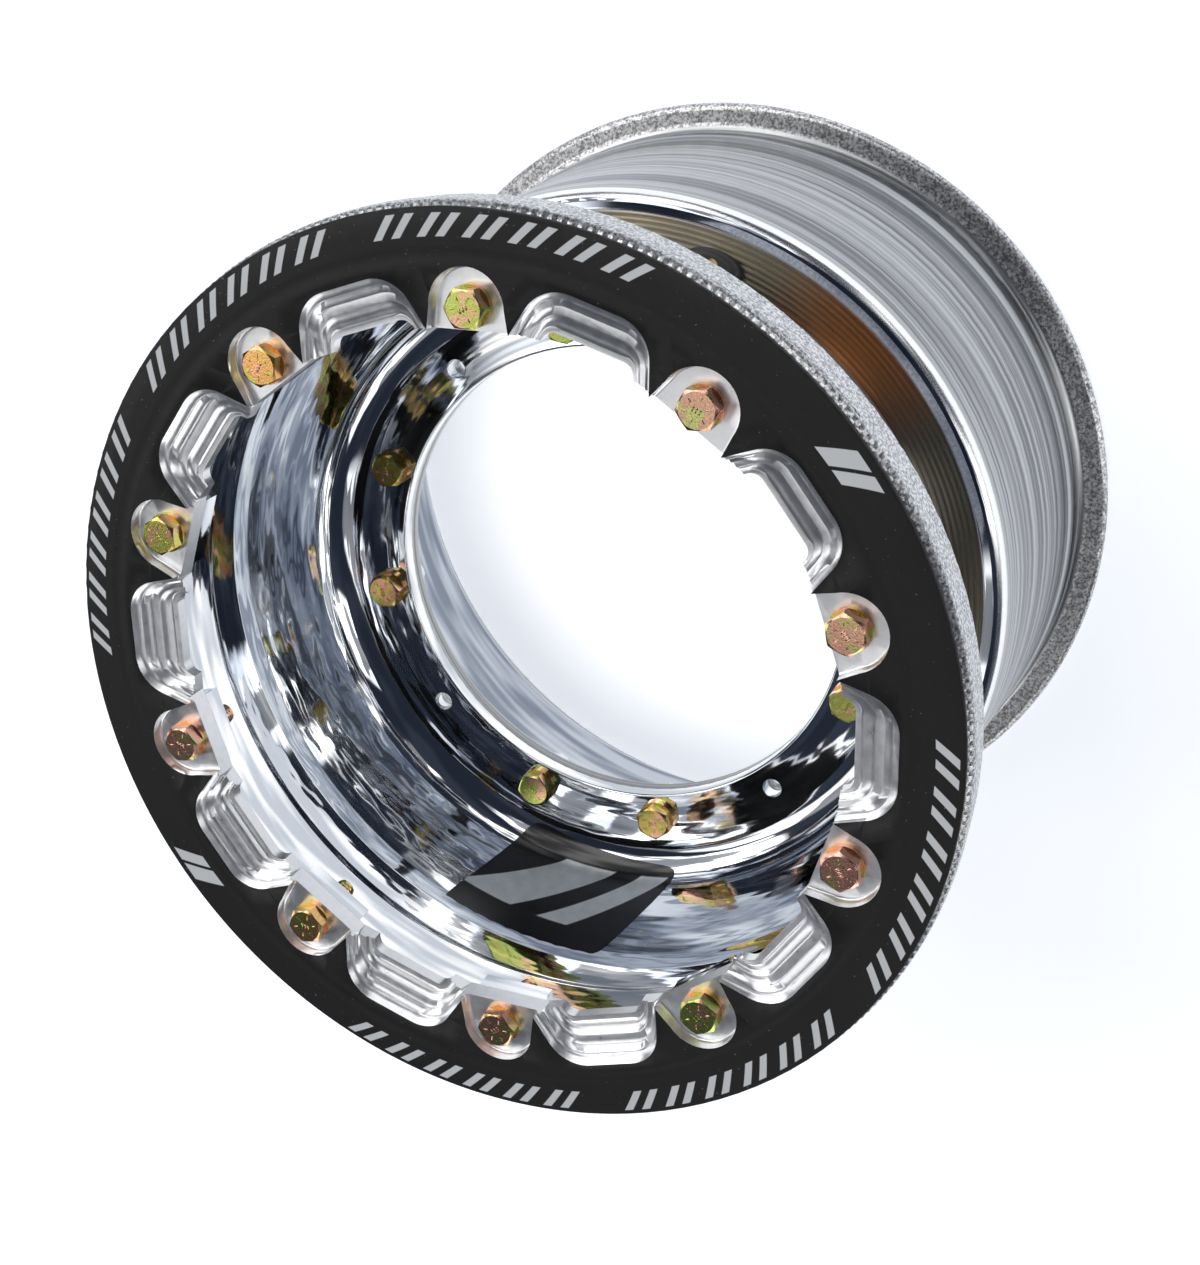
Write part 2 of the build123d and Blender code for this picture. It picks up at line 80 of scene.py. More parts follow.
# %% Wires and finishes
class Wire:
    """One output of a node. Arithmetic on it adds Math nodes."""

    def __init__(self, finish, socket):
        self.finish, self.socket = finish, socket

    def maths(self, operation, *others):
        """The Math node of that operation on this wire and the others."""
        values = dict(enumerate((self, *others)))
        return self.finish.add("ShaderNodeMath", {"operation": operation}, values)

    def step(self, low, high):
        """Smooth mask: 0 up to low, 1 from high on, and an S-curve between."""
        settings = {"interpolation_type": "SMOOTHSTEP"}
        values = {"Value": self, "From Min": low, "From Max": high}
        return self.finish.add("ShaderNodeMapRange", settings, values)

    def between(self, low, high, soft):
        """Mask of a band: 1 from low to high, with soft edges."""
        return self.step(low - soft, low + soft) * (1 - self.step(high - soft, high + soft))

    def __add__(self, other):
        return self.maths("ADD", other)

    __radd__ = __add__

    def __mul__(self, other):
        return self.maths("MULTIPLY", other)

    __rmul__ = __mul__

    def __sub__(self, other):
        return self.maths("SUBTRACT", other)

    def __rsub__(self, other):
        return self.finish.add("ShaderNodeMath", {"operation": "SUBTRACT"}, {0: other, 1: self})

    def __truediv__(self, other):
        return self.maths("DIVIDE", other)


class Graph:
    """A tree of nodes, to which short expressions add."""

    def __init__(self, tree):
        self.tree = tree

    def add(self, kind, settings=None, inputs=None, output=0):
        """Any node: its type, its settings, its sockets' values or wires, and its output."""
        node = self.tree.nodes.new(kind)
        for name, value in (settings or {}).items():
            if name == "stops":
                for stop, (at, colour) in zip(self.stops(node, len(value)), value):
                    stop.position, stop.color = at, (*colour, 1.0)
            elif name == "interpolation":
                node.color_ramp.interpolation = value
            else:
                setattr(node, name, value)
        for name, value in (inputs or {}).items():
            if isinstance(value, Wire):
                self.tree.links.new(value.socket, node.inputs[name])
            else:
                node.inputs[name].default_value = value
        return Wire(self, node.outputs[output]) if node.outputs else None

    def stops(self, node, count):
        """A ramp's elements, as many as asked for."""
        elements = node.color_ramp.elements
        while len(elements) < count:
            elements.new(len(elements) / count)
        return elements

    def vector(self, x, y, z):
        """A vector from three values or wires."""
        return self.add("ShaderNodeCombineXYZ", inputs={0: x, 1: y, 2: z})

    def noise(self, vector, scale, detail=0.0, roughness=0.5):
        """Noise from 0 to 1 on a vector in millimetres."""
        values = {"Vector": vector, "Scale": scale, "Detail": detail, "Roughness": roughness}
        return self.add("ShaderNodeTexNoise", inputs=values)

    def mix(self, share, first, second):
        """Colour that goes from the first to the second as share goes from 0 to 1."""
        values = {0: share, 6: first, 7: second}
        values = {k: (*v, 1.0) if isinstance(v, tuple) else v for k, v in values.items()}
        return self.add("ShaderNodeMix", {"data_type": "RGBA"}, values, 2)

    def ramp(self, share, stops, interpolation="LINEAR"):
        """Colour read from a list of places and colours."""
        settings = {"stops": stops, "interpolation": interpolation}
        return self.add("ShaderNodeValToRGB", settings, {0: share})


class Finish(Graph):
    """A material: one Principled shader, with the wheel's millimetres ready as wires."""

    def __init__(self, name, **fixed):
        self.material = bpy.data.materials.new(name)
        self.material.use_nodes = True
        super().__init__(self.material.node_tree)
        self.shader = self.tree.nodes["Principled BSDF"]
        for socket, value in fixed.items():
            self.shader.inputs[socket.replace("_", " ")].default_value = value
        place = self.add("ShaderNodeTexCoord", output="Object")
        axes = {"operation": "SCALE"}
        self.place = self.add("ShaderNodeVectorMath", axes, {0: place, "Scale": 1000.0})
        apart = self.add("ShaderNodeSeparateXYZ", inputs={0: self.place}).socket.node
        self.x, self.y, self.height = (Wire(self, socket) for socket in apart.outputs)
        flat = self.vector(self.x, self.y, 0.0)
        self.radius = self.add("ShaderNodeVectorMath", {"operation": "LENGTH"}, {0: flat}, "Value")
        self.angle = self.y.maths("ARCTAN2", self.x) * (180 / pi)

    def turned(self, pitch, drift=0.02):
        """Lines of a lathe tool: noise that is fine along the profile and long round it."""
        across = (self.x + self.y) * drift
        return self.noise(self.vector(self.radius, self.height, across), 1 / pitch, 1.0, 0.6)

    def feed(self, socket, wire):
        """Join a wire to a socket of the shader."""
        self.tree.links.new(wire.socket, self.shader.inputs[socket])

    def bump(self, height, depth):
        """Relief of that depth, in millimetres, from a wire that goes from 0 to 1."""
        values = {"Height": height, "Distance": depth / 1000}
        self.feed("Normal", self.add("ShaderNodeBump", inputs=values))

    def dress(self, *names):
        """Put this finish on CAD nodes."""
        for name in names:
            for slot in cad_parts[name].material_slots:
                slot.material = self.material


def numbered(stem, count):
    """Names of a node that comes several times."""
    return [f"{stem}_{i:02d}" for i in range(1, count + 1)]


# %% [markdown]
# ## Surfaces from grids
#
# Some forms are too fine for the CAD: the cutter's steps in the scallops, the marks on the bolt
# heads, the threads behind the lugs, and the teeth that grip the tyre under the ring's edge.
# Each is a surface worked out on a grid of two parameters and put into a mesh as whole arrays.


# %% A surface from a grid
def surface(name, points, closed_rows=False, closed_columns=False):
    """Mesh of a grid of points, rows by columns, in millimetres. Each square of the grid
    becomes a face; a closed direction also joins its last line to its first."""
    points = np.asarray(points, float) / 1000
    rows, columns = points.shape[:2]
    i, j = np.meshgrid(
        np.arange(rows - (not closed_rows)), np.arange(columns - (not closed_columns)),
        indexing="ij",
    )
    i, j = i.ravel(), j.ravel()
    down, right = (i + 1) % rows, (j + 1) % columns
    faces = np.stack([i * columns + j, down * columns + j, down * columns + right,
                      i * columns + right], axis=1)
    mesh = bpy.data.meshes.new(name)
    mesh.from_pydata(points.reshape(-1, 3), [], faces.tolist())
    mesh.polygons.foreach_set("use_smooth", np.ones(len(faces), bool))
    piece = bpy.data.objects.new(name, mesh)
    bpy.context.collection.objects.link(piece)
    return piece


def finish_piece(piece, finish, body="wheel"):
    """Give a piece its material and its body."""
    piece.data.materials.append(finish.material)
    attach(piece, body)
    print(piece.name, "faces", len(piece.data.polygons))


# %% [markdown]
# ## The clamp ring
#
# The ring was turned, blackened, and then milled: the pockets, the scallops and the lugs' inner
# faces cut through the black into bright metal. One material with a mask does this, because
# the black skin is just where the cutter has not been: outside the cut circle, and on the flat
# annulus. Plain pale bars stand in the outer band where such rings carry printing.

# %% Black and milled ring
cut_circle = 127.1  # the pockets and scallops all end inside this radius
ring = Finish("black_and_milled", Specular_IOR_Level=0.35)
skin = (ring.radius - cut_circle).step(0.0, 0.2)
skin = skin.maths("MAXIMUM", ring.height.step(218.93, 218.97))  # the flat annulus on top
skin = skin.maths("MAXIMUM", 1 - ring.height.step(209.11, 209.16))  # the underside

# The bars repeat every half turn, in cells of cell_width degrees, and lean as the radius grows.
slant, first_cell, cell_width = 0.35, 509.36, 5.85
turn = ring.angle + ring.radius * slant + first_cell
cell = turn.maths("MODULO", 180.0) / cell_width
bar = cell.maths("FRACT")
bars = bar.between(0.14, 0.34, 0.012) + bar.between(0.56, 0.76, 0.012)
groups = cell.between(0.0, 6.0, 0.01) + cell.between(7.0, 13.0, 0.01)
groups = groups + cell.between(14.0, 20.0, 0.01)
marks = groups * bars * ring.radius.between(134.9, 141.4, 0.1)
lozenges = cell.between(25.02, 25.36, 0.012) + cell.between(25.46, 25.92, 0.012)
marks = marks.maths("MAXIMUM", lozenges * ring.radius.between(131.8, 140.6, 0.1))
marks = marks * ring.height.step(218.2, 218.4)

specks = ring.noise(ring.place, 0.9, 1.0, 0.7)
mottle = ring.noise(ring.place, 0.06, 1.0)
cutter = ring.noise(ring.place, 0.35, 1.0, 0.65)
black = ring.mix(mottle * 0.5, (0.006, 0.006, 0.0065), (0.013, 0.013, 0.014))
black = ring.mix(specks.step(0.74, 0.78), black, (0.10, 0.10, 0.10))
black = ring.mix(marks, black, (0.62, 0.64, 0.66))
milled = ring.mix(cutter, (0.74, 0.75, 0.77), (0.94, 0.95, 0.96))
ring.feed("Base Color", ring.mix(skin, milled, black))
ring.feed("Metallic", (1 - skin) * 0.92)
ring.feed("Roughness", 0.24 + cutter * 0.14 + skin * (0.22 + specks * 0.08))
ring.bump(cutter * (1 - skin), 0.03)
ring.dress("beadlock_ring")
print("clamp ring dressed")

# %% [markdown]
# ### Steps of the scallops
#
# A ball cutter roughs out each scallop in passes, and every pass leaves a ledge. The CAD has
# the smooth envelope of those passes. Here a stepped block is subtracted from a copy of the
# ring, ten times round, and a twenty-sided block takes the burrs off the bore.

# %% Blocks that cut
ring_places = 5.2 + 36 * np.arange(10)  # degrees round the wheel, of the ring's bolts
pass_depths = np.array([0.0, 1.7, 3.1, 4.3, 5.2, 5.55])
face_height, block_top = 218.5, 221.0
side_slope, side_turn = 0.29, radians(73.8)  # lean of a side, and turn of the arc at its end
cut_more = 0.15  # the steps go this far past the CAD's envelope, so that no sliver stays


def scallop_rows(degrees):
    """Stair of outlines from the floor up. An outline is two sides that lean inwards, joined
    to a chord by arcs; its chord, half width and corner follow the CAD's at the pass's top."""
    known = (0.0, 2.9, 4.5, 5.6)
    tops = pass_depths[:-1, None]
    chord = np.interp(tops, known, (124.8, 120.4, 116.1, 111.1)) + cut_more
    half = np.interp(tops, known, (16.3, 15.3, 13.65, 13.2)) + cut_more
    corner = np.interp(tops, known, (12.0, 9.0, 6.5, 4.0))
    bend = np.linspace(side_turn, 0, 12)[None, :]
    out = chord - corner + corner * np.cos(bend)
    side = half - corner * np.tan(side_turn / 2) + corner * np.sin(bend)
    start = np.full_like(chord, 106.0)
    out = np.hstack([start, out, out[:, ::-1], start])
    wide = half + side_slope * (chord - start)
    side = np.hstack([wide, side, -side[:, ::-1], -wide])
    levels = face_height - np.stack([pass_depths[:-1], pass_depths[1:]], axis=1)
    levels[0, 0] = block_top
    out, side = (np.repeat(grid, 2, axis=0)[::-1] for grid in (out, side))
    height = np.broadcast_to(levels.reshape(-1)[::-1, None], out.shape)
    # One more outline at each end, shrunk to a point, closes the block.
    out, side, height = (
        np.vstack([grid[:1] * 0 + grid[0].mean(), grid, grid[-1:] * 0 + grid[-1].mean()])
        for grid in (out, side, height)
    )
    c, s = cos(radians(degrees)), sin(radians(degrees))
    return np.stack([c * out - s * side, s * out + c * side, height], axis=2)


def weld(mesh):
    """Merge a mesh's doubled points and turn its faces outwards."""
    whole = bmesh.new()
    whole.from_mesh(mesh)
    bmesh.ops.remove_doubles(whole, verts=whole.verts, dist=1e-6)
    bmesh.ops.recalc_face_normals(whole, faces=whole.faces)
    whole.to_mesh(mesh)
    whole.free()


def burr_rows(corner_reach=109.12, bottom=205.0, top=222.0):
    """Twenty-sided block: its corners stand at both ends of each lug's flat face."""
    ends = np.radians(ring_places[:, None] + [-7.4, 7.4]).ravel()
    reach = np.array([0.0, corner_reach, corner_reach, 0.0])[:, None]
    height = np.broadcast_to(np.array([bottom, bottom, top, top])[:, None], (4, ends.size))
    return np.stack([reach * np.cos(ends), reach * np.sin(ends), height], axis=2)


# %% Cut the copy of the ring
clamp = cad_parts["beadlock_ring"].copy()
clamp.data = clamp.data.copy()
clamp.name = "clamp_ring"
bpy.context.collection.objects.link(clamp)
weld(clamp.data)
blocks = [surface(f"block_{k}", rows, closed_columns=True)
          for k, rows in enumerate([burr_rows(), *map(scallop_rows, ring_places + 18)])]
for block in blocks:
    weld(block.data)
    cut = clamp.modifiers.new(block.name, "BOOLEAN")
    cut.operation, cut.solver, cut.object = "DIFFERENCE", "EXACT", block
view = bpy.context.evaluated_depsgraph_get()
trimmed = bpy.data.meshes.new_from_object(clamp.evaluated_get(view))
clamp.modifiers.clear()
clamp.data = trimmed
for block in blocks:
    bpy.data.objects.remove(block)
trimmed.shade_smooth()
trimmed.set_sharp_from_angle(angle=radians(28))
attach(clamp, "wheel")
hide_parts("beadlock_ring")
print("ring faces", len(trimmed.polygons), "materials", len(trimmed.materials))

# %% [markdown]
# ## Polished and turned shells
#
# The shells are spun from sheet. Inside they are polished like a mirror, but the spinning
# left ripples round the wall, which tear the reflections into teeth. A faint relief of lathe
# lines gives those teeth. The rear shell's inside is painted darker and bluer, as painted shade.
# Outside, the tool marks stay: the lips are grainy, and the steep wall beside the flange has
# coarse grooves with a tint of straw, which is painted bright orange on the side towards the
# camera as a painted warm reflection.

# %% Front shell
front = Finish("front_alloy", Metallic=1.0)
# The middle of the sheet parts the polished inside from the outside: it leans with the cone.
middle = ((front.height - 156.5) * 0.37 + 124.4).maths("MINIMUM", 126.6)
outside = (front.radius - middle).step(0.0, 0.6)
lip = front.radius.step(131.2, 131.8)
grain = front.noise(front.place, 1.1, 1.0, 0.7)
ripple = front.turned(4.6, 0.24) * 1.4
lines = front.turned(0.6)
streaks = front.turned(6.0, 0.12).step(0.40, 0.60)
bright = front.mix(streaks, (0.50, 0.53, 0.58), (0.93, 0.94, 0.95))
rough_cast = front.mix(grain.step(0.3, 0.7), (0.24, 0.25, 0.26), (0.74, 0.75, 0.76))
long_lines = front.turned(2.6, 0.01)
brushed = front.mix(long_lines.step(0.3, 0.7), (0.20, 0.21, 0.22), (0.50, 0.51, 0.52))
bright = front.mix(outside, bright, brushed)
front.feed("Base Color", front.mix(lip, bright, rough_cast))
front.feed("Roughness", 0.045 + outside * (0.16 + lines * 0.14) + lip * grain * 0.18)
relief = ripple * (1 - outside) * 1.6 + outside * lines * 0.35
front.bump(relief + lip * grain * 0.9, 0.045)
front.dress("front_shell")

# %% Rear shell
rear = Finish("rear_alloy", Metallic=1.0)
middle = (109.0 - rear.height) * 0.0503 + 127.8
outside = (rear.radius - middle).step(-0.3, 0.3).maths("MAXIMUM", rear.height.step(110.3, 110.6))
wall = rear.height.step(108.6, 109.6) * rear.radius.between(103.0, 126.5, 1.0)
shoulder = rear.height.between(104.5, 109.6, 1.0) * rear.radius.step(125.0, 128.0)
lip = rear.radius.step(136.5, 137.5)
lines = rear.turned(0.55)
long_lines = rear.turned(2.6, 0.01)
grooves = (rear.radius * (2 * pi / 1.75)).maths("SINE") * 0.5 + 0.5
grain = rear.noise(rear.place, 1.0, 1.0, 0.7)
patches = rear.noise(rear.place, 0.02, 1.0)
cone = rear.mix(long_lines.step(0.3, 0.7), (0.13, 0.135, 0.145), (0.46, 0.47, 0.48))
straw = rear.mix(patches.step(0.35, 0.65), (0.27, 0.235, 0.165), (0.15, 0.135, 0.105))
# Painted reflection: on the side towards the camera the straw wall is painted bright orange, a
# painted warm reflection.
painted_glow = rear.angle.between(-48.0, -28.0, 9.0)
straw = rear.mix(painted_glow, straw, (0.70, 0.26, 0.08))
colour = rear.mix(wall, cone, rear.mix(grooves * 0.5, straw, (0.12, 0.11, 0.09)))
colour = rear.mix(shoulder, colour, (0.90, 0.91, 0.93))
rough_cast = rear.mix(grain.step(0.3, 0.7), (0.22, 0.22, 0.23), (0.80, 0.80, 0.80))
colour = rear.mix(lip, colour, rough_cast)
# Painted shade: the polished inside is darkened and tinted blue to stand for the shade within the
# wheel.
painted_shade_inside = rear.mix(rear.turned(7.0, 0.1).step(0.35, 0.65), (0.24, 0.27, 0.33), (0.60, 0.63, 0.68))
rear.feed("Base Color", rear.mix(outside, painted_shade_inside, colour))
coarse = 0.17 + lines * 0.16 + lip * grain * 0.15 - shoulder * 0.06
rear.feed("Roughness", 0.05 + outside * coarse)
rear.bump(outside * (lines * 0.35 + wall * grooves * 1.2 + lip * grain), 0.05)
rear.dress("rear_shell")
print("shells dressed")

# %% [markdown]
# ## Bolts, washers and nuts
#
# The bolts are plated with yellow zinc, whose thin film shows green, straw and pink by turns.
# Each bolt differs, so the angle round the wheel picks its tint from a ramp with hard stops.
# The lock nuts and the valve's brass are plainer metals.

# %% Plated bolts
green, straw, pink = (0.50, 0.52, 0.13), (0.80, 0.55, 0.16), (0.80, 0.44, 0.32)
tints = [green, (0.74, 0.40, 0.13), (0.62, 0.56, 0.14), pink, (0.78, 0.50, 0.20)]
tints += [(0.78, 0.48, 0.26), (0.52, 0.58, 0.16), pink, (0.80, 0.46, 0.30), (0.60, 0.36, 0.24)]


def plated(name, stops, first):
    """Yellow zinc: a tint for each bolt, clouded with green and pink, and finely spotted. The
    ramp of tints starts at the angle called first."""
    zinc = Finish(name, Metallic=1.0)
    share = ((zinc.angle + (360 - first)).maths("MODULO", 360.0)) / 360.0
    tint = zinc.ramp(share, [(i / len(stops), c) for i, c in enumerate(stops)], "CONSTANT")
    cloud = zinc.noise(zinc.place, 0.22, 1.0, 0.6)
    fine = zinc.noise(zinc.place, 1.6, 1.0)
    tint = zinc.mix(cloud.step(0.52, 0.66) * 0.7, tint, (0.84, 0.40, 0.34))
    tint = zinc.mix((1 - cloud.step(0.34, 0.46)) * 0.6, tint, (0.46, 0.62, 0.16))
    zinc.feed("Base Color", zinc.mix(fine.step(0.62, 0.72) * 0.35, tint, (0.30, 0.16, 0.05)))
    zinc.feed("Roughness", 0.16 + fine * 0.16)
    zinc.bump(fine, 0.02)
    return zinc


half_way = 5.2 - 18  # degrees, between the last ring bolt and the first
ring_zinc = plated("gold_zinc", tints, half_way)
ring_zinc.dress(*numbered("ring_bolt", 10))
flange_zinc = plated("flange_zinc", [green, (0.52, 0.40, 0.10), straw, green] * 3, 30.0)
flange_zinc.dress(*numbered("flange_bolt", 8))
copper = plated("washer_zinc", [(0.72, 0.44, 0.14), (0.78, 0.42, 0.20)] * 5, half_way)
copper.dress(*numbered("ring_washer", 10), *numbered("flange_washer", 8))

# %% Nuts, valve and seal
nut = Finish("bright_zinc", Metallic=1.0)
cloud = nut.noise(nut.place, 0.3, 1.0)
nut.feed("Base Color", nut.mix(cloud, (0.58, 0.66, 0.74), (0.80, 0.82, 0.84)))
nut.feed("Roughness", 0.22 + cloud * 0.2)
nut.bump(nut.noise(nut.place, 2.0), 0.01)
nut.dress(*numbered("lock_nut", 8))

rubber = Finish("black_rubber", Specular_IOR_Level=0.5)
cloud = rubber.noise(rubber.place, 0.5, 1.0)
rubber.feed("Base Color", rubber.mix(cloud, (0.014, 0.014, 0.015), (0.03, 0.03, 0.032)))
rubber.feed("Roughness", 0.34 + cloud * 0.25)
rubber.bump(rubber.noise(rubber.place, 2.4), 0.03)
rubber.dress("valve_body", "shell_seal")

brass = Finish("valve_brass", Metallic=1.0)
cloud = brass.noise(brass.place, 0.8, 1.0)
brass.feed("Base Color", brass.mix(cloud, (0.62, 0.43, 0.16), (0.82, 0.63, 0.30)))
brass.feed("Roughness", 0.24 + cloud * 0.16)
brass.bump(cloud, 0.01)
brass.dress("valve_stem", "valve_core", "valve_core_pin")

cap = Finish("cap_plastic")
cloud = cap.noise(cap.place, 1.2, 1.0)
cap.feed("Base Color", cap.mix(cloud, (0.012, 0.012, 0.013), (0.022, 0.022, 0.024)))
cap.feed("Roughness", 0.32 + cloud * 0.1)
cap.bump(cloud, 0.02)
cap.dress("valve_cap")
print("materials", len(bpy.data.materials))

# %% [markdown]
# ### Threads
#
# A quarter-inch thread has twenty turns to the inch. A ridge with a rounded top runs up the
# bolt as a screw line: its height is the angle turned times the pitch.

# %% Threads of the bolts' tails
def thread(centre, low, high):
    """Screw ridge round a bolt: for each angle, six points across the ridge, whose reach is
    a rounded half sine of the place across and fades out at both ends of the run."""
    pitch, core, crest = 1.27, 3.12, 0.30
    turns = (high - low) / pitch - 1
    angle = np.linspace(0, turns * 2 * pi, int(turns * 28) + 1)[:, None]
    across = np.linspace(0, 1, 6)[None, :]
    fade = np.clip(np.minimum(angle, turns * 2 * pi - angle) / 1.2, 0, 1)
    radius = core + crest * np.sin(across * pi) ** 0.8 * fade
    height = low + pitch * (angle / (2 * pi) + across * 0.92)
    x = centre[0] + radius * np.cos(angle)
    y = centre[1] + radius * np.sin(angle)
    return np.stack([x, y, np.broadcast_to(height, x.shape)], axis=2)


def ring_of(radius, angles):
    """Places on a circle round the axle line, one for each angle in degrees."""
    turned = np.radians(angles)
    return np.stack([radius * np.cos(turned), radius * np.sin(turned)], axis=1)


ring_bolts = ring_of(115.4, ring_places)
tail_end, tail_start = 194.9, 202.6  # heights of the bare thread behind the lugs
for number, centre in enumerate(ring_bolts, start=1):
    tail = surface(f"ring_thread_{number:02d}", thread(centre, tail_end, tail_start))
    finish_piece(tail, ring_zinc)

# %% [markdown]
# ### Head marks
#
# Strong bolts carry short raised strokes on the head. Six of them point at the head's middle,
# and a bar of small pips lies across it. Each stroke is a low pillow, so it has no hard edge.

# %% Strokes on the heads
def pillow(length, width, height):
    """Low pillow on a 7 by 5 grid: flat at its rim, and raised along an ellipse across it and
    a flatter curve along it."""
    u, v = np.meshgrid(np.linspace(-1, 1, 7), np.linspace(-1, 1, 5), indexing="ij")
    rise = np.sqrt(np.clip((1 - u**4) * (1 - v**2), 0, 1))
    return np.stack([u * length / 2, v * width / 2, rise * height], axis=2)


def placed(points, centre, angle, reach, height):
    """Turn a pillow by an angle, move it out by its reach and set it on a head."""
    c, s = cos(angle), sin(angle)
    x, y, z = points[..., 0] + reach, points[..., 1], points[..., 2]
    return np.stack([centre[0] + c * x - s * y, centre[1] + s * x + c * y, height + z], axis=2)


def head_marks(centre, turn, top):
    """Six strokes and three pips of one head, as a list of grids."""
    strokes = [placed(pillow(1.5, 0.42, 0.13), centre, turn + k * pi / 3, 3.4, top)
               for k in range(6)]
    pips = [placed(pillow(0.7, 1.5, 0.13), centre, turn + pi / 2, reach, top)
            for reach in (-1.1, 0.0, 1.1)]
    return strokes + pips


# Each bolt stopped at its own angle when it was tightened.
ring_turns = ring_places + [30, 22, 48, 52, 18, 38, 18, 50, 20, 10]
flange_places = np.array([75, 105, 165, 195, 255, 285, 345, 15])
flange_turns = flange_places + [30, 0, 0, 0, 0, 15, 40, 10]
ring_head_top, flange_head_top = 220.8, 125.6
heads = list(zip(ring_bolts, np.radians(ring_turns), [ring_head_top] * 10))
flange_bolts = ring_of(89.2, flange_places)
heads += zip(flange_bolts, np.radians(flange_turns), [flange_head_top] * 8)
for number, head in enumerate(heads, start=1):
    grids = head_marks(*head)
    stem, finish = ("ring", ring_zinc) if number <= 10 else ("flange", flange_zinc)
    pieces = [surface(f"mark_{number}_{k}", grid) for k, grid in enumerate(grids)]
    with bpy.context.temp_override(active_object=pieces[0], selected_editable_objects=pieces):
        bpy.ops.object.join()
    pieces[0].name = f"{stem}_head_marks_{(number - 1) % 10 + 1:02d}"
    finish_piece(pieces[0], finish)

# %% [markdown]
# ### Teeth under the ring's edge
#
# The front lip is serrated where the tyre's bead is clamped. The teeth show as a sparkling
# line past the black edge. The lip's rounded profile is carried round the wheel, and a
# triangle wave of the angle pushes it outwards.

# %% Serrated lip
def serration(teeth=300, height=0.55):
    """Lip profile times angle: an arc of radius 3.2 about (141.1, 211.7), pushed out along its
    own normal by a triangle wave of the angle, fading at both ends of the arc."""
    angle = np.linspace(0, 2 * pi, teeth * 4, endpoint=False)[:, None]
    tilt = np.radians(np.linspace(96, 18, 9))[None, :]
    wave = np.abs((angle * teeth / (2 * pi)) % 1 * 2 - 1)
    push = 3.2 + 0.02 + height * wave * np.sin(np.linspace(0, pi, 9))[None, :] ** 0.5
    radius = 141.1 + push * np.cos(tilt)
    level = 211.7 + push * np.sin(tilt)
    return np.stack([radius * np.cos(angle), radius * np.sin(angle), level], axis=2)


teeth = surface("lip_teeth", serration(), closed_rows=True)
teeth.data.polygons.foreach_set("use_smooth", np.zeros(len(teeth.data.polygons), bool))
finish_piece(teeth, front)

# %% [markdown]
# ### A label without words
#
# A dark label is stuck low in the barrel. Here it is plain: black film with two slanted
# silver panels. The film lies on the cone, so its grid is bent over the shell's own profile.

# %% Label on the barrel
def barrel(along):
    """Radius, height and inward normal of the barrel at a distance up from the flange's
    rounding: first the arc of radius 15 about (98.13, 135), then the straight cone."""
    slope = np.radians(21.66)
    arc = 15 * (pi / 2 - slope)
    tilt = np.minimum(along, arc) / 15 - pi / 2
    beyond = np.maximum(along - arc, 0)
    radius = 98.13 + 15 * np.cos(tilt) + beyond * np.sin(slope)
    height = 135 + 15 * np.sin(tilt) + beyond * np.cos(slope)
    return radius, height, -np.cos(tilt), -np.sin(tilt)


def label_grid(corners, rounding=0.16, lift=0.25):
    """Rounded quadrilateral as rings about its middle. A ring's points follow a superellipse,
    which is a square with soft corners, and the square is laid between four corners given as
    angle and distance up the barrel."""
    way = np.linspace(0, 2 * pi, 96, endpoint=False)[None, :]
    u, v = np.cos(way), np.sin(way)
    reach = 1 / (np.abs(u) ** (2 / rounding) + np.abs(v) ** (2 / rounding)) ** (rounding / 2)
    share = np.linspace(0.0, 1.0, 24)[:, None]
    u, v = (u * reach * share + 1) / 2, (v * reach * share + 1) / 2
    (a, b), (c, d), (e, f), (g, h) = corners
    angle = np.radians((a * (1 - u) + c * u) * (1 - v) + (g * (1 - u) + e * u) * v)
    along = (b * (1 - u) + d * u) * (1 - v) + (h * (1 - u) + f * u) * v
    radius, height, out, up = barrel(along)
    radius, height = radius + out * lift, height + up * lift
    return np.stack([radius * np.cos(angle), radius * np.sin(angle), height], axis=2)


film = Finish("label_film")
slant, shift = 0.62, 360.0 - 74.0
lean = (film.angle + film.height * slant + shift).maths("MODULO", 360.0)
panel = lean.between(180.0, 190.0, 0.15) + lean.between(195.0, 200.5, 0.15)
panel = panel.maths("MINIMUM", 1.0) * film.height.between(126.0, 150.0, 0.3)
brushed = film.noise(film.place, 0.25, 1.0)
silver = film.mix(brushed, (0.50, 0.53, 0.54), (0.74, 0.77, 0.78))
film.feed("Base Color", film.mix(panel, (0.010, 0.010, 0.011), silver))
film.feed("Roughness", 0.12 + panel * 0.18 + brushed * 0.06)
film.feed("Metallic", panel * 0.8)
film.bump(film.turned(3.0), 0.02)
label_corners = [(166.7, 4.6), (198.3, 9.6), (188.1, 50.5), (160.4, 51.5)]
label = surface("barrel_label", label_grid(label_corners), closed_columns=True)
finish_piece(label, film)

# %% [markdown]
# ## Table and light
#
# The picture has no horizon: its table is lit from below, and under the wheel's bore its glow
# is painted brighter still, a painted pool of light, so it stays white even in the wheel's own
# shade. Soft boxes overhead draw the highlights. Polished metal only looks like metal when it
# has something dark to mirror, so the room between the boxes is slate blue.

# %% Light table
def disc(name, radius, corners=96):
    """Flat disc at the table's height: corners spaced evenly round a circle."""
    way = np.linspace(0, 2 * pi, corners, endpoint=False)
    points = np.stack([radius * np.cos(way), radius * np.sin(way), 0 * way], axis=1)
    mesh = bpy.data.meshes.new(name)
    mesh.from_pydata(points, [], [range(corners)])
    piece = bpy.data.objects.new(name, mesh)
    bpy.context.collection.objects.link(piece)
    return piece


table = disc("light_table", 0.8)
pale = Finish("pale_table", Roughness=0.9, Emission_Strength=1.0)
pale.shader.inputs["Base Color"].default_value = (0.75, 0.75, 0.76, 1.0)
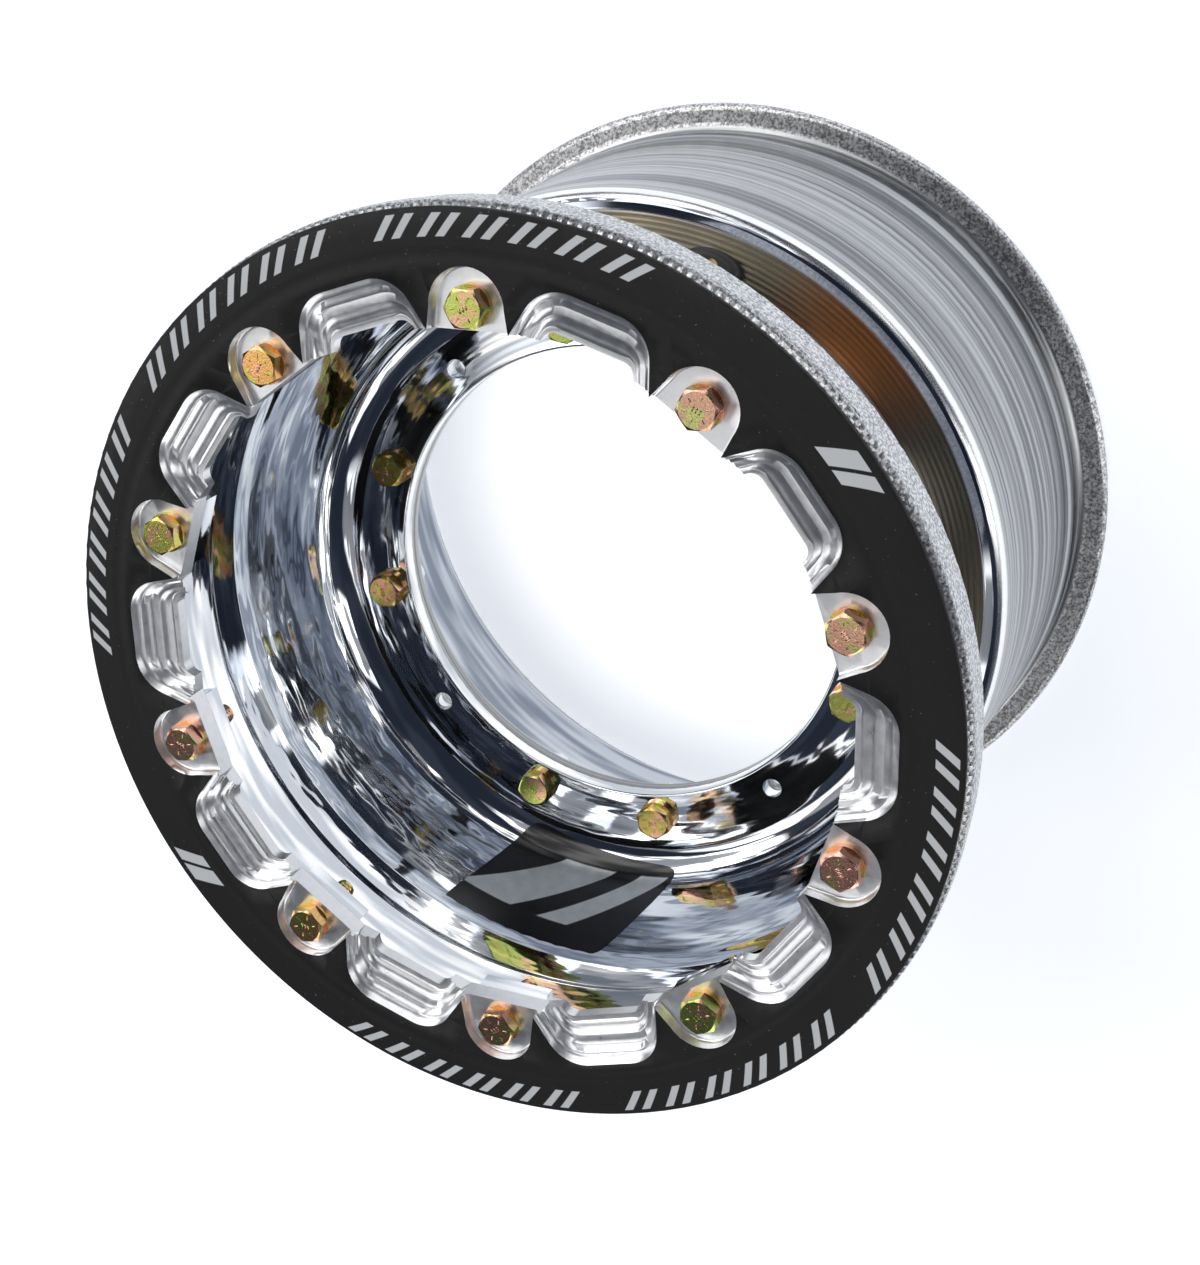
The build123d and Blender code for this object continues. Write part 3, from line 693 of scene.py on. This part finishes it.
# Painted light: the table's glow is brighter under the wheel's bore, a painted pool of light that
# cancels the wheel's shade there; farther out it is dimmer and bluish.
painted_glow = pale.mix(pale.radius.step(90.0, 135.0), (0.99, 1.0, 1.0), (0.62, 0.65, 0.70))
pale.feed("Emission Color", painted_glow)
table.data.materials.append(pale.material)

# %% The room and its soft boxes
world = bpy.data.worlds.new("studio")
bpy.context.scene.world = world
world.use_nodes = True
world.node_tree.nodes.clear()
sky = Graph(world.node_tree)
way = sky.add("ShaderNodeTexCoord", output="Generated")


def soft_box(direction, half_width, half_height, soft=0.03):
    """Share of light from an upright box: 1 where the way looked at, laid on a plane one unit
    off in the box's direction, falls within its half width and half height."""
    ahead = Vector(direction).normalized()
    across = ahead.cross(Vector((0, 0, 1))).normalized()
    axes = [tuple(axis) for axis in (ahead, across, across.cross(ahead))]
    dot = {"operation": "DOT_PRODUCT"}
    near, side, rise = (sky.add("ShaderNodeVectorMath", dot, {0: way, 1: axis}, "Value")
                        for axis in axes)
    side, rise = (side / near).maths("ABSOLUTE"), (rise / near).maths("ABSOLUTE")
    inside = 1 - side.step(half_width - soft, half_width + soft)
    return near.step(0.0, 0.1) * inside * (1 - rise.step(half_height - soft, half_height + soft))


boxes = [((0.62, 0.50, 0.62), 0.62, 0.48, 3.4), ((0.15, -0.92, 0.38), 0.20, 0.55, 2.8),
         ((-0.92, -0.25, 0.45), 0.36, 0.30, 2.6), ((-0.25, 0.85, 0.55), 0.14, 0.50, 2.2),
         ((-0.30, 0.10, 1.0), 0.60, 0.13, 2.0), ((0.80, -0.60, 0.25), 0.12, 0.30, 1.4)]
light = sum(soft_box(*box[:3]) * box[3] for box in boxes)
# Dark flags in front of the boxes break their light up into patches, as a real room does.
wave = sky.add("ShaderNodeVectorMath", {"operation": "SCALE"}, {0: way, "Scale": 13.0})
flags = sky.noise(wave, 0.35, 1.0).step(0.50, 0.53)
light = light * (1 - flags * 0.85)
room = sky.add("ShaderNodeBackground", inputs={0: (0.030, 0.038, 0.055, 1.0)})
lamps = sky.add("ShaderNodeBackground", inputs={0: (1.0, 0.99, 0.98, 1.0), 1: light})
both = sky.add("ShaderNodeAddShader", inputs={0: room, 1: lamps})
plain = sky.add("ShaderNodeBackground", inputs={0: (1.0, 1.0, 1.0, 1.0), 1: 1.05})
seen = sky.add("ShaderNodeLightPath", output="Is Camera Ray")
shown = sky.add("ShaderNodeMixShader", inputs={0: seen, 1: both, 2: plain})
sky.add("ShaderNodeOutputWorld", inputs={0: shown})
bpy.context.scene.view_settings.view_transform = "Standard"
print("soft boxes", len(boxes))
